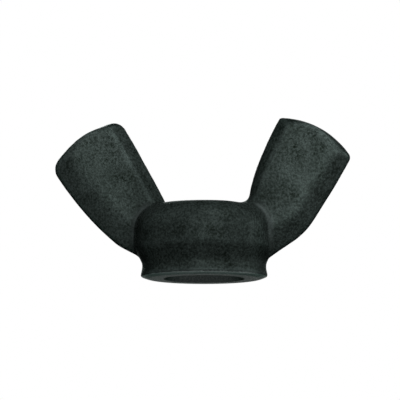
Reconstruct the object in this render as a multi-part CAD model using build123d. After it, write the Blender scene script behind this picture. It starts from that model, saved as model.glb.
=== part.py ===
# M5 wing nut, cast in one piece: a round hub with a threaded bore and two leaning wings.
# Millimetres, +Z up, origin on the bore axis in the plane of the seat. The wings stand in
# the XZ plane, which is also the plane where the two halves of the mould part.
from build123d import *
import os
from math import atan2, degrees, sqrt

# Thread: the bore is at the core diameter of M5 x 0.8, and both mouths are countersunk,
# the one in the seat deeper, so that the nut starts easily on a screw
core_diameter = 4.2
seat_mouth_diameter = 7.0
top_mouth_diameter = 5.3

# Hub, from the seat upwards: flat seat, chamfered foot, waist, barrel, and a round shoulder
# up to the flat top
seat_diameter = 9.8
chamfer_height = 0.2
foot_diameter = 11.0
foot_height = 0.35
waist_diameter = 10.6
waist_height = 1.2
barrel_diameter = 12.1
barrel_start = 2.75
shoulder_radius = 2.35
hub_height = 6.5
undercut_radius = 0.8

# Both wings: thickness at the level of the seat and at the tip
root_thickness = 3.0
tip_thickness = 2.3
# Smallest corner radius of a face, and how far the wings reach into the waist at the heel
least_radius = 0.3
heel_depth = 0.3
# Levels of the outlines through a wing, as shares of its half thickness
wing_levels = (-1, -0.97, -0.87, -0.7, -0.4, 0, 0.4, 0.7, 0.87, 0.97, 1)

# Left wing in the parting plane: reach from the bore axis, and height above the seat. The
# bands are how far the flat faces stay inside each side of that outline.
left_root_reach = 3.25
left_corner_reach = 7.4
left_corner_height = 13.9
left_span = 13.35
left_span_height = 9.8
left_knee_reach = 7.5
left_knee_height = 2.95
left_heel_height = 1.65
left_inner_bulge = 0.09
left_tip_crown = 0.7
left_outer_bulge = 0.38
left_corner_radius = 1.2
left_span_radius = 1.3
left_knee_radius = 4.8
left_heel_radius = 2.0
left_inner_band = 0.95
left_tip_band = 0.15
left_outer_band = 2.6
left_under_band = 2.7

# Right wing: it leans less, its tip is squarer, and its flat faces reach further outwards
right_root_reach = 3.7
right_corner_reach = 6.65
right_corner_height = 13.95
right_span = 12.85
right_span_height = 10.4
right_knee_reach = 8.7
right_knee_height = 3.75
right_heel_height = 1.35
right_inner_bulge = 0.32
right_tip_crown = 0.9
right_outer_bulge = 0.12
right_corner_radius = 0.5
right_span_radius = 0.55
right_knee_radius = 6.4
right_heel_radius = 1.8
right_inner_band = 1.0
right_tip_band = 0.15
right_outer_band = 2.0
right_under_band = 2.1

waist_radius = waist_diameter / 2
barrel_radius = barrel_diameter / 2
top_radius = barrel_radius - shoulder_radius


def cross(a, b):
    return a.X * b.Y - a.Y * b.X


def inset(corners, depths):
    # Each side moves inwards by its own depth, and the moved sides meet at the new corners
    points = [Vector(*corner) for corner in corners]
    sides = []
    for start, end, depth in zip(points, points[1:] + points[:1], depths):
        along = (end - start).normalized()
        sides.append((start + Vector(along.Y, -along.X) * depth, along))
    moved = []
    for (start_a, along_a), (start_b, along_b) in zip(sides[-1:] + sides[:-1], sides):
        step = cross(start_b - start_a, along_b) / cross(along_a, along_b)
        moved.append(start_a + along_a * step)
    return moved


def outline(corners, bulges, radii):
    # Closed outline with bowed sides and rounded corners, drawn in its own plane
    sides = []
    for start, end, bulge in zip(corners, corners[1:] + corners[:1], bulges):
        sides.append(SagittaArc(start, end, bulge) if bulge else Line(start, end))
    sketch = make_face(sides)
    for corner, radius in zip(corners, radii):
        if radius:
            near = sketch.vertices().sort_by_distance(Vector(corner.X, corner.Y))[0]
            sketch = fillet(near, radius)
    return sketch


def wing(root_reach, corner, span, knee, heel_height, bulges, radii, bands):
    # One wing towards +X, lofted through outlines on levels from one flat face to the other.
    # The widest outline lies in the parting plane. From there the inner side is gently
    # crowned, and the other sides round over like a quarter of an ellipse, up to the flat
    # faces, which lean towards each other up to the tip.
    corners = [
        (root_reach, hub_height),
        corner,
        span,
        knee,
        (waist_radius - heel_depth, heel_height),
        (waist_radius - heel_depth, foot_height),
        (root_reach, foot_height),
    ]
    inner_band, tip_band, outer_band, under_band = bands
    draw = degrees(atan2((root_thickness - tip_thickness) / 2, corner[1]))
    sections = []
    for level in wing_levels:
        rounded = 1 - sqrt(1 - level**2)
        insets = [
            inner_band * level**2,
            tip_band * rounded,
            outer_band * rounded,
            under_band * rounded,
            0,
            0,
            0,
        ]
        deepest = map(max, insets[-1:] + insets[:-1], insets)
        level_radii = [
            radius and max(radius - depth, least_radius) for radius, depth in zip(radii, deepest)
        ]
        plane = Plane((0, level * root_thickness / 2, 0), x_dir=(1, 0, 0), z_dir=(0, -1, 0))
        plane = plane.rotated((level * draw, 0, 0))
        sections.append(plane * outline(inset(corners, insets), bulges, level_radii))
    return loft(sections, ruled=True)


def hub():
    # Half section turned about the bore axis
    shoulder_start = hub_height - shoulder_radius
    section = [
        Line((0, 0), (seat_diameter / 2, 0)),
        Line((seat_diameter / 2, 0), (foot_diameter / 2, chamfer_height)),
        Line((foot_diameter / 2, chamfer_height), (foot_diameter / 2, foot_height)),
        Line((foot_diameter / 2, foot_height), (waist_radius, waist_height)),
        Line((waist_radius, waist_height), (barrel_radius, barrel_start)),
        Line((barrel_radius, barrel_start), (barrel_radius, shoulder_start)),
        RadiusArc((barrel_radius, shoulder_start), (top_radius, hub_height), -shoulder_radius),
        Line((top_radius, hub_height), (0, hub_height)),
        Line((0, hub_height), (0, 0)),
    ]
    sketch = make_face(section)
    for reach, height in ((waist_radius, waist_height), (barrel_radius, barrel_start)):
        near = sketch.vertices().sort_by_distance(Vector(reach, height))[0]
        sketch = fillet(near, undercut_radius)
    return revolve(Plane.XZ * sketch, Axis.Z)


def countersink(mouth_diameter):
    # 90 degree cone that opens downwards from the bore to a mouth at the level of the seat
    depth = (mouth_diameter - core_diameter) / 2
    return Pos(0, 0, depth / 2) * Cone(mouth_diameter / 2, core_diameter / 2, depth)


def bore():
    # Core hole through the hub, with a countersink at each mouth
    hole = Pos(0, 0, hub_height / 2) * Cylinder(core_diameter / 2, hub_height)
    top_mouth = Pos(0, 0, hub_height) * mirror(countersink(top_mouth_diameter), about=Plane.XY)
    return hole + countersink(seat_mouth_diameter) + top_mouth


left_wing = wing(
    left_root_reach,
    (left_corner_reach, left_corner_height),
    (left_span, left_span_height),
    (left_knee_reach, left_knee_height),
    left_heel_height,
    (left_inner_bulge, left_tip_crown, left_outer_bulge, 0, 0, 0, 0),
    (0, left_corner_radius, left_span_radius, left_knee_radius, left_heel_radius, 0, 0),
    (left_inner_band, left_tip_band, left_outer_band, left_under_band),
)
right_wing = wing(
    right_root_reach,
    (right_corner_reach, right_corner_height),
    (right_span, right_span_height),
    (right_knee_reach, right_knee_height),
    right_heel_height,
    (right_inner_bulge, right_tip_crown, right_outer_bulge, 0, 0, 0, 0),
    (0, right_corner_radius, right_span_radius, right_knee_radius, right_heel_radius, 0, 0),
    (right_inner_band, right_tip_band, right_outer_band, right_under_band),
)
nut = hub() + mirror(left_wing, about=Plane.YZ) + right_wing - bore()

os.makedirs("parts", exist_ok=True)
export_step(nut, "parts/wing_nut.step")
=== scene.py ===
from math import cos, pi, radians, sin

import bpy
import numpy as np
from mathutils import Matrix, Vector


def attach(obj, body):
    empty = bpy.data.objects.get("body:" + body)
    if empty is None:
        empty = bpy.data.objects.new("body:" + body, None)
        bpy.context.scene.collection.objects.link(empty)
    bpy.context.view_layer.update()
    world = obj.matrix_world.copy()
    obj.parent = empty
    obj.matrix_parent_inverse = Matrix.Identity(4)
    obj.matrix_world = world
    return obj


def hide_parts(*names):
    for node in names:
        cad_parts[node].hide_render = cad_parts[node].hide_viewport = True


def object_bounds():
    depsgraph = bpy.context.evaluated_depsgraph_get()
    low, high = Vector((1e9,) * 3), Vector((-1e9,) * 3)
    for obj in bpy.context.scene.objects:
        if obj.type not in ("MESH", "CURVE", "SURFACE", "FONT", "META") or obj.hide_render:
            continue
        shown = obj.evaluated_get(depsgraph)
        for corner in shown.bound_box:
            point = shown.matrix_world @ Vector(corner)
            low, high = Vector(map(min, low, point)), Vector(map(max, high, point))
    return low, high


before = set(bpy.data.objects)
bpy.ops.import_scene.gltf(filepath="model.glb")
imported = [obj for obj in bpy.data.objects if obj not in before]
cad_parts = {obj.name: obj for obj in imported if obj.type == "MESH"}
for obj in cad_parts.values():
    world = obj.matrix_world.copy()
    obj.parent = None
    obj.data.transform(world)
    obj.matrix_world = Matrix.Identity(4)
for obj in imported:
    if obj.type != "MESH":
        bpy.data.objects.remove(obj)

# Wing nut, M5, cast in one piece and blackened. The hub and the two wings are worked out as
# surfaces, grown together into one skin, given the unevenness of a sand casting, and then
# the thread is cut, as in the foundry and the tapping shop.

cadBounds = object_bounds()        # the CAD box, which the casting stays inside
mm = 0.001


def addMesh(name, vertices, faces):
    mesh = bpy.data.meshes.new(name)
    mesh.from_pydata(vertices, [], faces)
    mesh.validate()
    piece = bpy.data.objects.new(name, mesh)
    bpy.context.scene.collection.objects.link(piece)
    return piece


def gridFaces(rings, count):
    # Quads between neighbouring rings of equal count, and one face over each end
    ring, step = np.meshgrid(np.arange(rings - 1), np.arange(count), indexing="ij")
    after = (step + 1) % count
    quads = np.stack([ring * count + step, ring * count + after,
                      (ring + 1) * count + after, (ring + 1) * count + step], axis=-1)
    first = list(range(count))[::-1]
    last = list(range((rings - 1) * count, rings * count))
    return quads.reshape(-1, 4).tolist() + [first, last]


def unit(vectors):
    return vectors / np.linalg.norm(vectors, axis=-1, keepdims=True)


def ramp(values, start, end):
    # 0 up to the start, 1 from the end on, and straight between them
    return np.clip((values - start) / (end - start), 0, 1)


def roundedOutline(corners, radii, bows, sidePoints, arcPoints):
    # Closed clockwise outlines, one for each row of corners. A side is
    # start + t (end - start) + 4 t (1 - t) bow outwards, and a corner of radius r is a cubic
    # Bezier curve that leaves the sides r tan(turn / 2) before the corner, along their tangents.
    chords = np.roll(corners, -1, axis=1) - corners
    lengths = np.linalg.norm(chords, axis=-1, keepdims=True)
    along = chords / lengths
    outward = np.stack([-along[..., 1], along[..., 0]], axis=-1)
    bows = np.broadcast_to(np.asarray(bows)[..., None], lengths.shape)

    def onSide(t):
        return corners + t * chords + 4 * t * (1 - t) * bows * outward

    def tangent(t):
        return unit(along + 4 * (1 - 2 * t) * bows / lengths * outward)

    arriving = np.roll(tangent(np.ones_like(lengths)), 1, axis=1)
    leaving = tangent(np.zeros_like(lengths))
    turn = np.arccos(np.clip((arriving * leaving).sum(-1, keepdims=True), -1, 1))
    trim = radii[..., None] * np.tan(turn / 2)
    start = trim / lengths
    end = 1 - np.roll(trim, -1, axis=1) / lengths
    handle = 4 / 3 * np.tan(turn / 4) * radii[..., None]
    arcStart = np.roll(onSide(end), 1, axis=1)
    arcEnd = onSide(start)
    arcFirst = arcStart + handle * np.roll(tangent(end), 1, axis=1)
    arcSecond = arcEnd - handle * tangent(start)
    u = np.linspace(0, 1, arcPoints)[:, None, None, None]
    arc = ((1 - u)**3 * arcStart + 3 * (1 - u)**2 * u * arcFirst
           + 3 * (1 - u) * u**2 * arcSecond + u**3 * arcEnd)
    t = np.linspace(0, 1, sidePoints + 2)[1:-1, None, None, None]
    side = onSide(start + t * (end - start))
    points = np.concatenate([arc, side])        # point on the stretch, level, corner, x and z
    return np.moveaxis(points, 0, 2).reshape(len(corners), -1, 2)


def movedCorners(corners, bands):
    # Each side moves inwards by its own band; the corner goes to where the moved sides cross,
    # start + along * cross(gap between the starts, next along) / cross(along, next along)
    chords = np.roll(corners, -1, axis=0) - corners
    along = unit(chords)
    inward = np.stack([along[:, 1], -along[:, 0]], axis=-1)
    starts = corners + bands[..., None] * inward
    before = np.roll(starts, 1, axis=1)
    alongBefore = np.roll(along, 1, axis=0)
    gap = starts - before
    share = (gap[..., 0] * along[:, 1] - gap[..., 1] * along[:, 0]) / (
        alongBefore[:, 0] * along[:, 1] - alongBefore[:, 1] * along[:, 0])
    return before + share[..., None] * alongBefore


hub = {
    "seatDiameter": 9.8 * mm,
    "chamferHeight": 0.2 * mm,
    "footDiameter": 11.0 * mm,
    "footHeight": 0.35 * mm,
    "waistDiameter": 10.6 * mm,
    "waistHeight": 1.2 * mm,
    "barrelDiameter": 12.1 * mm,
    "barrelStart": 2.75 * mm,
    "height": 6.5 * mm,
    "footRadius": 0.05 * mm,
    "undercutRadius": 0.8 * mm,
    "shoulderRadius": 2.35 * mm,
    "axisGap": 0.02 * mm,             # the section stops here, and a small face closes it
    "columns": 160,
    "sidePoints": 6,
    "arcPoints": 20,
}


def hubSurface(name):
    # Hub: the half section r(t), z(t), with rounded corners, turned about the bore axis:
    # x = r cos(angle), y = r sin(angle)
    foot = hub["footDiameter"] / 2
    waist = hub["waistDiameter"] / 2
    barrel = hub["barrelDiameter"] / 2
    corners = np.array([[(hub["axisGap"], hub["height"]), (barrel, hub["height"]),
                         (barrel, hub["barrelStart"]), (waist, hub["waistHeight"]),
                         (foot, hub["footHeight"]), (foot, hub["chamferHeight"]),
                         (hub["seatDiameter"] / 2, 0), (hub["axisGap"], 0)]])
    radii = np.array([[0, hub["shoulderRadius"], hub["undercutRadius"], hub["undercutRadius"],
                       hub["footRadius"], hub["footRadius"], hub["footRadius"], 0]])
    straight = np.zeros(corners.shape[1])
    section = roundedOutline(corners, radii, straight, hub["sidePoints"], hub["arcPoints"])[0]
    section = section[:-hub["sidePoints"]]        # without the side along the axis
    angle = np.linspace(0, 2 * pi, hub["columns"], endpoint=False)
    r, z = section[:, :1], section[:, 1:]
    rings = np.stack([r * np.cos(angle), r * np.sin(angle), z + 0 * angle], axis=-1)
    rings = rings[::-1]
    return addMesh(name, rings.reshape(-1, 3).tolist(), gridFaces(*rings.shape[:2]))


# The two wings aren't alike. Corner, span and knee are x and z in the parting plane. Bands say
# how far the inner side, the tip, the outer side and the underside move in at the flat faces,
# bows how far the first three bulge, and radii how round corner, span, knee and heel are
wings = {
    "rootThickness": 3.0 * mm,        # at the level of the seat
    "tipThickness": 2.3 * mm,
    "leastRadius": 0.3 * mm,          # of a corner at the flat faces
    "innerPower": 1.3,                # of the inner side's bevel: 1 is flat, 2 is a parabola
    "overlap": 0.3 * mm,              # how far the roots reach inside the waist of the hub
    "hiddenRadius": 0.1 * mm,         # corners inside the hub
    "levels": 41,
    "sidePoints": 14,
    "arcPoints": 12,
    "left": {
        "side": -1,
        "root": 3.25 * mm,
        "corner": (7.4 * mm, 13.9 * mm),
        "span": (13.35 * mm, 9.8 * mm),
        "knee": (7.5 * mm, 2.95 * mm),
        "heel": 1.65 * mm,
        "bands": (0.95 * mm, 0.15 * mm, 2.6 * mm, 2.7 * mm),
        "bows": (0.09 * mm, 0.7 * mm, 0.38 * mm),
        "radii": (1.2 * mm, 1.3 * mm, 4.8 * mm, 2.0 * mm),
    },
    "right": {
        "side": 1,
        "root": 3.7 * mm,
        "corner": (6.65 * mm, 13.95 * mm),
        "span": (12.85 * mm, 10.4 * mm),
        "knee": (8.7 * mm, 3.75 * mm),
        "heel": 1.35 * mm,
        "bands": (1.0 * mm, 0.15 * mm, 2.0 * mm, 2.1 * mm),
        "bows": (0.32 * mm, 0.9 * mm, 0.12 * mm),
        "radii": (0.12 * mm, 0.45 * mm, 6.4 * mm, 1.8 * mm),
    },
}


def wingSurface(name, wing):
    # Wing: the outline carried through the thickness. At level s from -1 to 1 the rounded
    # sides move in by band (1 - sqrt(1 - s^2)), a quarter ellipse, the inner side by
    # band |s|^power, nearly a flat bevel, and y = s (half the root thickness - height times
    # the draw).
    neck = hub["waistDiameter"] / 2 - wings["overlap"]
    corners = np.array([
        (wing["root"], hub["height"]), wing["corner"], wing["span"], wing["knee"],
        (neck, wing["heel"]), (neck, hub["footHeight"]), (wing["root"], hub["footHeight"])])
    level = np.sin(np.linspace(-pi / 2, pi / 2, wings["levels"]))
    rounded = 1 - np.sqrt(1 - level**2)
    still = np.zeros_like(level)
    innerBand, tipBand, outerBand, underBand = wing["bands"]
    bands = np.stack([innerBand * np.abs(level)**wings["innerPower"], tipBand * rounded,
                      outerBand * rounded, underBand * rounded, still, still, still], axis=-1)
    deepest = np.maximum(bands, np.roll(bands, 1, axis=1))
    soft = wings["leastRadius"]
    radii = np.array([soft, *wing["radii"], wings["hiddenRadius"], wings["hiddenRadius"]])
    radii = np.maximum(radii - deepest, np.minimum(radii, soft))
    bows = np.array([*wing["bows"], 0, 0, 0, 0])
    outline = roundedOutline(movedCorners(corners, bands), radii, bows,
                             wings["sidePoints"], wings["arcPoints"])
    draw = (wings["rootThickness"] - wings["tipThickness"]) / 2 / wing["corner"][1]
    x = outline[..., 0] * wing["side"]
    z = outline[..., 1]
    y = level[:, None] * (wings["rootThickness"] / 2 - draw * z)
    rings = np.stack([x, y, z], axis=-1)
    if wing["side"] > 0:
        rings = rings[::-1]
    return addMesh(name, rings.reshape(-1, 3).tolist(), gridFaces(*outline.shape[:2]))


thread = {
    "coreDiameter": 4.2 * mm,
    "majorDiameter": 5.0 * mm,
    "pitch": 0.8 * mm,
    "rootFlat": 1 / 8,                # at the major diameter, as a share of the pitch
    "crestFlat": 1 / 4,               # at the core
    "seatMouthDiameter": 7.0 * mm,
    "topMouthDiameter": 5.3 * mm,
    "overrun": 0.3 * mm,              # how far the cutter passes both faces
    "columns": 96,
    "rowStep": 0.05 * mm,
    "facedPaintedLight": 0.5,                     # share of the seat's lighter look, bare iron and painted light, that the cut faces have
}


def threadCutter(name):
    # Thread: r(angle, z) is the core radius plus the depth of a trapezoid wave, whose phase is
    # z / pitch - angle / full turn, and the countersink's cone where that is wider
    core = thread["coreDiameter"] / 2
    depth = thread["majorDiameter"] / 2 - core
    low, high = -thread["overrun"], hub["height"] + thread["overrun"]
    rows = int((high - low) / thread["rowStep"]) + 1
    z = np.linspace(low, high, rows)[:, None]
    angle = np.linspace(0, 2 * pi, thread["columns"], endpoint=False)
    phase = (z / thread["pitch"] - angle / (2 * pi)) % 1
    wave = np.abs(2 * phase - 1)
    cut = core + depth * ramp(wave, thread["crestFlat"], 1 - thread["rootFlat"])
    seatCone = thread["seatMouthDiameter"] / 2 - z
    topCone = thread["topMouthDiameter"] / 2 - (hub["height"] - z)
    r = np.maximum(cut, np.maximum(seatCone, topCone))
    rings = np.stack([r * np.cos(angle), r * np.sin(angle), z + 0 * angle], axis=-1)
    cutter = addMesh(name, rings.reshape(-1, 3).tolist(), gridFaces(rows, thread["columns"]))
    # The cut faces get part of the seat's look: bare iron, and painted light
    paint(cutter.data, "facedPaintedLight", np.full(rings[..., 0].size, thread["facedPaintedLight"]))
    return cutter


def applyModifiers(piece):
    graph = bpy.context.evaluated_depsgraph_get()
    mesh = bpy.data.meshes.new_from_object(piece.evaluated_get(graph))
    piece.modifiers.clear()
    piece.data = mesh


def join(pieces):
    with bpy.context.temp_override(active_object=pieces[0], object=pieces[0],
                                   selected_objects=pieces, selected_editable_objects=pieces):
        bpy.ops.object.join()
    return pieces[0]


def read(mesh, kind, name, width):
    # The values of one name, with a row for each vertex or edge
    whole = name == "vertices"
    elements = getattr(mesh, kind)
    values = np.empty(len(elements) * width, dtype=np.int32 if whole else np.float32)
    elements.foreach_get(name, values)
    return values.reshape(-1, width).astype(int if whole else float)


def paint(mesh, name, values):
    # A value for each vertex, which the material reads by its name
    layer = mesh.attributes.new(name, "FLOAT", "POINT")
    layer.data.foreach_set("value", values.astype(np.float32))


def settle(mesh, points):
    # Puts the vertices in their new places, and gives their normals
    mesh.vertices.foreach_set("co", points.astype(np.float32).ravel())
    mesh.update()
    return read(mesh, "vertices", "normal", 3)


def neighbourMean(values, edges, counts):
    # Mean of a value over the vertices that share an edge with each vertex
    total = np.zeros_like(values)
    np.add.at(total, edges[:, 0], values[edges[:, 1]])
    np.add.at(total, edges[:, 1], values[edges[:, 0]])
    return total / counts


def smoothed(points, strength, rounds, edges, counts):
    # Each round moves every vertex by strength (mean of its neighbours - the vertex)
    for turn in range(rounds):
        points = points + strength * (neighbourMean(points, edges, counts) - points)
    return points


def waves(points, length, count, rng):
    # Uneven surface: the sum of many sine waves in all directions, with lengths around one
    # size, over the root of their number and over how high such a sum rises, so that its
    # crests come to about 1
    shortest, longest, crest = 0.7, 1.6, 3
    directions = unit(rng.normal(size=(count, 3)))
    numbers = 2 * pi / (length * rng.uniform(shortest, longest, count))
    offsets = rng.uniform(0, 2 * pi, count)
    heights = np.sin(points @ (directions * numbers[:, None]).T + offsets).sum(axis=1)
    return heights / np.sqrt(count) / crest


casting = {
    "voxel": 0.105 * mm,
    "edgeStrength": 0.5,              # smoothing everywhere, which breaks the edges
    "edgeRounds": 5,
    "bendRounds": 3,                  # how many neighbours deep the bend is evened out
    "hollowGain": 14,                 # how soon a hollow counts in full, from its bend in voxels
    "hollowLeast": 0.15,
    "spreadRounds": 7,                # how many neighbours past the hollow the fillet starts
    "spreadGain": 1.12,
    "blendRounds": 70,                # smoothing at the concave joint of hub and wing
    "blend": (0.8, 0.4),              # its strength at the right wing and at the left one
    "rootReach": 0.75 * mm,           # the fuller fillet at the foot of the right inner side
    "rootRounds": 90,
    "swell": 0.035 * mm,              # depth of the long uneven waves of the skin
    "swellLength": 3.2 * mm,
    "swellWaves": 40,
    "grain": 0.009 * mm,              # depth of the sand's print
    "grainLength": 0.62 * mm,
    "grainWaves": 60,
    "seamWidth": 0.3 * mm,            # line left where the two halves of the mould met
    "seamHeight": 0.012 * mm,
    "levelFrom": 0.95,                # upright share of the normal from which a face is level
    "edgeWearAndHighlightGain": 10,                    # how soon an edge gets its lighter colour in full, from its bend
    "facedPaintedLightLean": (0.3, 0.8),          # downward share of the normal where the seat's bare, painted-light look starts and is full
    "paintedCornerLightReach": (4 * mm, 5 * mm),    # from here to here off the axis the corners get painted light that lifts their shade
    "handledReach": (5 * mm, 7.5 * mm),        # and the dark hub passes into the polished wings
    "sharpAngle": 44,                 # in degrees: an edge that bends more stays sharp
    "seed": 5,
}


def castSkin(piece):
    # The grown-together skin: concave joints are smoothed most, which gives the fillet of the
    # pattern; then each vertex moves along its normal by the waves of the sand
    mesh = piece.data
    edges = read(mesh, "edges", "vertices", 2)
    counts = np.bincount(edges.ravel(), minlength=len(mesh.vertices))[:, None].astype(float)
    points = read(mesh, "vertices", "co", 3)
    points = smoothed(points, casting["edgeStrength"], casting["edgeRounds"], edges, counts)
    normals = settle(mesh, points)

    # Bend: how far the neighbours' mean lies out along the normal, above 0 in a hollow
    bend = ((neighbourMean(points, edges, counts) - points) * normals).sum(axis=1, keepdims=True)
    for turn in range(casting["bendRounds"]):
        bend = neighbourMean(bend, edges, counts)
    hollow = bend / casting["voxel"] * casting["hollowGain"] - casting["hollowLeast"]
    hollow = np.clip(hollow, 0, 1)
    for turn in range(casting["spreadRounds"]):
        hollow = np.maximum(hollow, neighbourMean(hollow, edges, counts) * casting["spreadGain"])
    hollow = np.clip(hollow, 0, 1)
    # Painted light: the hollows at the roots of the wings, off the hub's middle, get a lighter colour
    # that lifts their shade
    paintedCornerLight = hollow[:, 0] * ramp(np.abs(points[:, 0]), *casting["paintedCornerLightReach"])
    blend = hollow * np.where(points[:, :1] > 0, *casting["blend"])
    points = smoothed(points, blend, casting["blendRounds"], edges, counts)
    gap = np.hypot(points[:, :1] - wings["right"]["root"], points[:, 2:] - hub["height"])
    atRoot = np.exp(-(gap / casting["rootReach"])**2)
    points = smoothed(points, atRoot, casting["rootRounds"], edges, counts)
    normals = settle(mesh, points)

    rng = np.random.default_rng(casting["seed"])
    swell = waves(points, casting["swellLength"], casting["swellWaves"], rng)
    grain = waves(points, casting["grainLength"], casting["grainWaves"], rng)
    pastFoot = np.hypot(points[:, 0], points[:, 1]) > hub["footDiameter"] / 2
    seam = np.exp(-(points[:, 1] / casting["seamWidth"])**2) * pastFoot
    shift = casting["swell"] * swell + casting["grain"] * grain + casting["seamHeight"] * seam
    machined = (np.abs(normals[:, 2]) > casting["levelFrom"]) & ~pastFoot
    shift = np.where(machined, 0, shift)
    points = np.clip(points + normals * shift[:, None], *np.array(cadBounds))
    settle(mesh, points)

    # Convex edges get a lighter colour: partly wear, partly a painted highlight
    paint(mesh, "edgeWearAndHighlight", np.clip(-bend[:, 0] / casting["voxel"] * casting["edgeWearAndHighlightGain"], 0, 1))
    paint(mesh, "paintedCornerLight", paintedCornerLight)
    # The seat: bare from facing, and lightened further as painted light from below
    facedPaintedLight = ramp(-normals[:, 2], *casting["facedPaintedLightLean"])
    paint(mesh, "facedPaintedLight", np.where(points[:, 2] < hub["chamferHeight"], facedPaintedLight, 0))
    paint(mesh, "handled", ramp(np.abs(points[:, 0]), *casting["handledReach"]))


def makeNut():
    body = join([hubSurface("WingNut"),
                 wingSurface("wingLeft", wings["left"]),
                 wingSurface("wingRight", wings["right"])])
    remesh = body.modifiers.new("grow together", "REMESH")
    remesh.mode = "VOXEL"
    remesh.voxel_size = casting["voxel"]
    remesh.adaptivity = 0
    applyModifiers(body)
    print("skin:", len(body.data.polygons), "faces")
    castSkin(body)
    cutter = threadCutter("threadCutter")
    cut = body.modifiers.new("tap", "BOOLEAN")
    cut.operation = "DIFFERENCE"
    cut.solver = "MANIFOLD"
    cut.object = cutter
    applyModifiers(body)
    bpy.data.objects.remove(cutter)
    body.name = body.data.name = "WingNut"
    body.data.polygons.foreach_set("use_smooth", np.ones(len(body.data.polygons), dtype=bool))
    body.data.set_sharp_from_angle(angle=radians(casting["sharpAngle"]))
    print("tapped:", len(body.data.polygons), "faces")
    return body


def colour(hexValue):
    # sRGB hex to linear, opaque
    shades = [int(hexValue[place:place + 2], 16) / 255 for place in (1, 3, 5)]
    linear = [shade / 12.92 if shade <= 0.04045 else ((shade + 0.055) / 1.055)**2.4
              for shade in shades]
    return (*linear, 1)


def addNode(tree, kind, settings=None, links=None):
    # Adds a node; settings are properties or input values, links go from sockets to its inputs
    node = tree.nodes.new(kind)
    for key, value in (settings or {}).items():
        if key in node.inputs.keys() or isinstance(key, int):
            node.inputs[key].default_value = value
        else:
            setattr(node, key, value)
    for key, socket in (links or {}).items():
        tree.links.new(socket, node.inputs[key])
    return node


def newMaterial(name):
    material = bpy.data.materials.new(name)
    material.use_nodes = True
    material.node_tree.nodes.clear()
    return material, material.node_tree


blackOxide = {
    "dark": "#090E0A",
    "light": "#2E3533",
    "wornAndPaintedHighlight": "#46504E",              # on the edges: wear, and a painted highlight
    "paintedCornerLight": "#363C3B",                # painted light that lifts the shade in the corners at the roots of the wings
    "facedPaintedLight": "#69716F",               # on the seat: bare iron, lightened further as painted light from below
    # painted glint: a lighter colour on single specks that stands in for highlights
    "paintedGlint": "#6E7674",
    "hubMetallic": 0.17,
    "wingMetallic": 0.54,
    "seatMetallic": 1.0,
    "roughness": (0.22, 0.32),
    "edgeTint": (0.22, 0.25, 0.24, 1),
    "patch": 1.6 * mm,
    "patchShift": 0.2,                # how far the patches shift the mottle to either side
    "speck": 0.21 * mm,               # coarser than the real crystals, so that they show
    "speckDepth": 0.018 * mm,
    "noiseRange": (0.3, 0.7),         # where most of a noise's values lie
    "speckRange": (0.36, 0.64),       # values from the dark colour to the light one
    "paintedGlintRange": (0.74, 0.8),        # values at which a speck gets the painted glint
}


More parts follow.
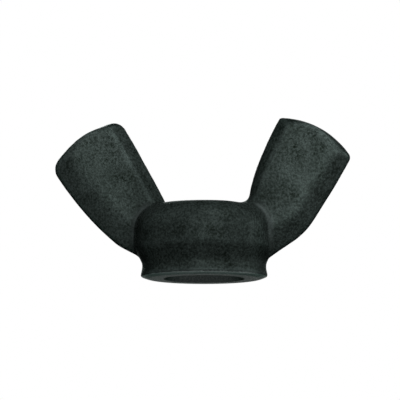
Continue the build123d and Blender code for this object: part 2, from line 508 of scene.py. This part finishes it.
def blackOxideOnCastIron():
    # Malleable cast iron, blackened hot in salts: a thin dark skin with a green-grey cast that
    # is nearly matt, mottled where the sand printed the surface, and lighter at the edges, partly
    # where handling has rubbed them and partly as a painted highlight. Fingers have polished the
    # wings; the corners at their roots get painted light that lifts their shade; the faced seat
    # and the thread show more of the bare iron, lightened further as painted light from below;
    # and scattered specks carry painted glints
    material, tree = newMaterial("black oxide on cast iron")
    noiseLow, noiseHigh = blackOxide["noiseRange"]
    place = addNode(tree, "ShaderNodeTexCoord").outputs["Object"]
    patches = addNode(tree, "ShaderNodeTexNoise", {
        "Scale": 1 / blackOxide["patch"], "Detail": 3.0, "Roughness": 0.6}, {"Vector": place})
    specks = addNode(tree, "ShaderNodeTexNoise", {
        "Scale": 1 / blackOxide["speck"], "Detail": 4.0, "Roughness": 0.85}, {"Vector": place})
    patchy = addNode(tree, "ShaderNodeMapRange", {
        "From Min": noiseLow, "From Max": noiseHigh, "To Min": -blackOxide["patchShift"],
        "To Max": blackOxide["patchShift"]}, {"Value": patches.outputs["Fac"]})
    speckled = addNode(tree, "ShaderNodeMapRange", {
        "clamp": False, "From Min": blackOxide["speckRange"][0],
        "From Max": blackOxide["speckRange"][1]}, {"Value": specks.outputs["Fac"]})
    mottle = addNode(tree, "ShaderNodeMath", {"operation": "ADD", "use_clamp": True}, {
        0: patchy.outputs["Result"], 1: speckled.outputs["Result"]})
    skin = addNode(tree, "ShaderNodeMix", {
        "data_type": "RGBA", 6: colour(blackOxide["dark"]), 7: colour(blackOxide["light"])},
        {"Factor": mottle.outputs["Value"]})
    # Edges: partly wear, partly a painted highlight along them
    edgeWearAndHighlight = addNode(tree, "ShaderNodeAttribute", {"attribute_name": "edgeWearAndHighlight"})
    wearAndHighlightShare = addNode(tree, "ShaderNodeMath", {"operation": "MULTIPLY", "use_clamp": True}, {
        0: edgeWearAndHighlight.outputs["Fac"], 1: specks.outputs["Fac"]})
    wornAndPaintedHighlight = addNode(tree, "ShaderNodeMix", {
        "data_type": "RGBA", 7: colour(blackOxide["wornAndPaintedHighlight"])},
        {"Factor": wearAndHighlightShare.outputs["Value"], 6: skin.outputs[2]})
    # Painted light: a lighter colour that lifts the shade in the corners at the wings' roots
    corner = addNode(tree, "ShaderNodeAttribute", {"attribute_name": "paintedCornerLight"})
    cornerPaintedLit = addNode(tree, "ShaderNodeMix", {
        "data_type": "RGBA", 7: colour(blackOxide["paintedCornerLight"])},
        {"Factor": corner.outputs["Fac"], 6: wornAndPaintedHighlight.outputs[2]})
    # Seat and thread: bare iron, lightened further as painted light from below
    seat = addNode(tree, "ShaderNodeAttribute", {"attribute_name": "facedPaintedLight"})
    facedPaintedLight = addNode(tree, "ShaderNodeMix", {
        "data_type": "RGBA", 7: colour(blackOxide["facedPaintedLight"])},
        {"Factor": seat.outputs["Fac"], 6: cornerPaintedLit.outputs[2]})
    # Painted glints: single specks get a lighter colour that stands in for highlights
    paintedGlints = addNode(tree, "ShaderNodeMapRange", {
        "From Min": blackOxide["paintedGlintRange"][0], "From Max": blackOxide["paintedGlintRange"][1]},
        {"Value": specks.outputs["Fac"]})
    paintedGlinting = addNode(tree, "ShaderNodeMix", {
        "data_type": "RGBA", 7: colour(blackOxide["paintedGlint"])},
        {"Factor": paintedGlints.outputs["Result"], 6: facedPaintedLight.outputs[2]})
    handled = addNode(tree, "ShaderNodeAttribute", {"attribute_name": "handled"})
    polished = addNode(tree, "ShaderNodeMapRange", {
        "To Min": blackOxide["hubMetallic"], "To Max": blackOxide["wingMetallic"]},
        {"Value": handled.outputs["Fac"]})
    bare = addNode(tree, "ShaderNodeMapRange", {"To Max": blackOxide["seatMetallic"]},
        {"Value": seat.outputs["Fac"], "To Min": polished.outputs["Result"]})
    gloss = addNode(tree, "ShaderNodeMapRange", {
        "From Min": noiseLow, "From Max": noiseHigh, "To Min": blackOxide["roughness"][0],
        "To Max": blackOxide["roughness"][1]}, {"Value": specks.outputs["Fac"]})
    bump = addNode(tree, "ShaderNodeBump", {
        "Strength": 1.0, "Distance": blackOxide["speckDepth"]}, {"Height": specks.outputs["Fac"]})
    # The porous skin drinks the light that grazes it, so the clear sheen is off and the
    # metal's tint at its rims is dark
    shader = addNode(tree, "ShaderNodeBsdfPrincipled", {
        "Specular IOR Level": 0.0, "Specular Tint": blackOxide["edgeTint"]}, {
        "Base Color": paintedGlinting.outputs[2], "Metallic": bare.outputs["Result"],
        "Roughness": gloss.outputs["Result"], "Normal": bump.outputs["Normal"]})
    addNode(tree, "ShaderNodeOutputMaterial", None, {"Surface": shader.outputs["BSDF"]})
    return material


studio = {
    "floorSize": 1.2,
    "floorDrop": 0.05 * mm,
    "floorColour": "#E6E6E6",
    "floorGlow": 0.38,                # paleness that the camera sees besides the lamps
    "floorFade": (0.05, 0.14),        # from here to here it fades into the white background
    "ambient": 0.03,                  # grey of the room
    "lampDistance": 0.5,
    "lamps": {
        "front": {"azimuth": 14, "elevation": 11, "size": (0.5, 0.18), "level": 0.73},
        "high": {"azimuth": 40, "elevation": 51, "size": (0.16, 0.25), "level": 0.32},
        "top": {"azimuth": 58, "elevation": 54, "size": (0.49, 0.49), "level": 0.34},
        "left": {"azimuth": -65, "elevation": 38, "size": (0.5, 0.4), "level": 0.17},
        "right": {"azimuth": 95, "elevation": 12, "size": (0.3, 0.3), "level": 0.35},
        "rear": {"azimuth": 205, "elevation": 24, "size": (0.3, 0.3), "level": 0.8},
    },
}


def direction(azimuth, elevation):
    a, e = radians(azimuth), radians(elevation)
    return Vector((sin(a) * cos(e), -cos(a) * cos(e), sin(e)))


def pointAt(item, target, away):
    item.location = target + away
    item.rotation_euler = away.to_track_quat("Z", "Y").to_euler()
    bpy.context.scene.collection.objects.link(item)


def backgroundRays(tree):
    # 1 for rays that see the background: the camera's own, and those in gloss and glass
    path = addNode(tree, "ShaderNodeLightPath")
    first = addNode(tree, "ShaderNodeMath", {"operation": "ADD", "use_clamp": True}, {
        0: path.outputs["Is Camera Ray"], 1: path.outputs["Is Glossy Ray"]})
    both = addNode(tree, "ShaderNodeMath", {"operation": "ADD", "use_clamp": True}, {
        0: first.outputs["Value"], 1: path.outputs["Is Transmission Ray"]})
    return both.outputs["Value"]


def paleFloor():
    # Matt pale board. It shows only from above, so the camera can stand a little lower than
    # the board, and only in gloss does it throw light back at the nut
    material, tree = newMaterial("pale matt board")
    board = addNode(tree, "ShaderNodeBsdfDiffuse", {"Color": colour(studio["floorColour"])})
    glow = addNode(tree, "ShaderNodeEmission", {"Strength": studio["floorGlow"]})
    pale = addNode(tree, "ShaderNodeAddShader", None, {0: board.outputs[0], 1: glow.outputs[0]})
    place = addNode(tree, "ShaderNodeTexCoord").outputs["Object"]
    away = addNode(tree, "ShaderNodeVectorMath", {"operation": "LENGTH"}, {0: place})
    fade = addNode(tree, "ShaderNodeMapRange", {
        "interpolation_type": "SMOOTHSTEP", "From Min": studio["floorFade"][0],
        "From Max": studio["floorFade"][1]}, {"Value": away.outputs["Value"]})
    white = addNode(tree, "ShaderNodeEmission")
    fading = addNode(tree, "ShaderNodeMixShader", None, {
        0: fade.outputs["Result"], 1: pale.outputs[0], 2: white.outputs[0]})
    clear = addNode(tree, "ShaderNodeBsdfTransparent")
    below = addNode(tree, "ShaderNodeNewGeometry").outputs["Backfacing"]
    seen = addNode(tree, "ShaderNodeMath", {"operation": "SUBTRACT", "use_clamp": True}, {
        0: backgroundRays(tree), 1: below})
    shown = addNode(tree, "ShaderNodeMixShader", None, {
        0: seen.outputs["Value"], 1: clear.outputs[0], 2: fading.outputs[0]})
    addNode(tree, "ShaderNodeOutputMaterial", None, {"Surface": shown.outputs[0]})
    half = studio["floorSize"] / 2
    z = cadBounds[0].z - studio["floorDrop"]
    floor = addMesh("floor", [(-half, -half, z), (half, -half, z), (half, half, z), (-half, half, z)],
                    [(0, 1, 2, 3)])
    floor.data.materials.append(material)


def room():
    # Plain grey light from all round; the background itself is white
    world = bpy.data.worlds.new("room")
    world.use_nodes = True
    tree = world.node_tree
    tree.nodes.clear()
    grey = addNode(tree, "ShaderNodeBackground", {
        "Color": (1, 1, 1, 1), "Strength": studio["ambient"]})
    white = addNode(tree, "ShaderNodeBackground", {"Color": (1, 1, 1, 1), "Strength": 1.0})
    both = addNode(tree, "ShaderNodeMixShader", None, {
        0: backgroundRays(tree), 1: grey.outputs[0], 2: white.outputs[0]})
    addNode(tree, "ShaderNodeOutputWorld", None, {"Surface": both.outputs[0]})
    bpy.context.scene.world = world


def lamps(target):
    # A lamp of this power lights a white surface that faces it to the level
    for name, lamp in studio["lamps"].items():
        light = bpy.data.lights.new(name, "AREA")
        light.shape = "RECTANGLE"
        light.size, light.size_y = lamp["size"]
        light.energy = lamp["level"] * pi**2 * studio["lampDistance"]**2
        away = direction(lamp["azimuth"], lamp["elevation"]) * studio["lampDistance"]
        pointAt(bpy.data.objects.new(name, light), target, away)


camera = {
    "azimuth": 8,
    "elevation": -6,
    "distance": 600 * mm,
    "frameWidth": 34.67 * mm,         # width of the picture at the nut
    "right": -0.355 * mm,             # picture centre, from the middle of the seat
    "up": 6.84 * mm,
}


def makeCamera(seat):
    lens = bpy.data.cameras.new("camera")
    lens.lens = lens.sensor_width * camera["distance"] / camera["frameWidth"]
    lens.clip_start = 0.01
    lens.clip_end = 10
    item = bpy.data.objects.new("camera", lens)
    back = direction(camera["azimuth"], camera["elevation"])
    right = Vector((0, 0, 1)).cross(back).normalized()
    target = seat + right * camera["right"] + back.cross(right) * camera["up"]
    pointAt(item, target, back * camera["distance"])
    bpy.context.scene.camera = item


bpy.context.scene.view_settings.view_transform = "Standard"
boxCentre = (cadBounds[0] + cadBounds[1]) / 2
seatMiddle = Vector((0, 0, cadBounds[0].z))
makeCamera(seatMiddle)
print("camera placed")

room()
paleFloor()
lamps(boxCentre)
print("studio ready")

nut = makeNut()
nut.data.materials.clear()        # the cut leaves an empty slot
nut.data.materials.append(blackOxideOnCastIron())
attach(nut, "root")
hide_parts("wing_nut")
print("wing nut finished")
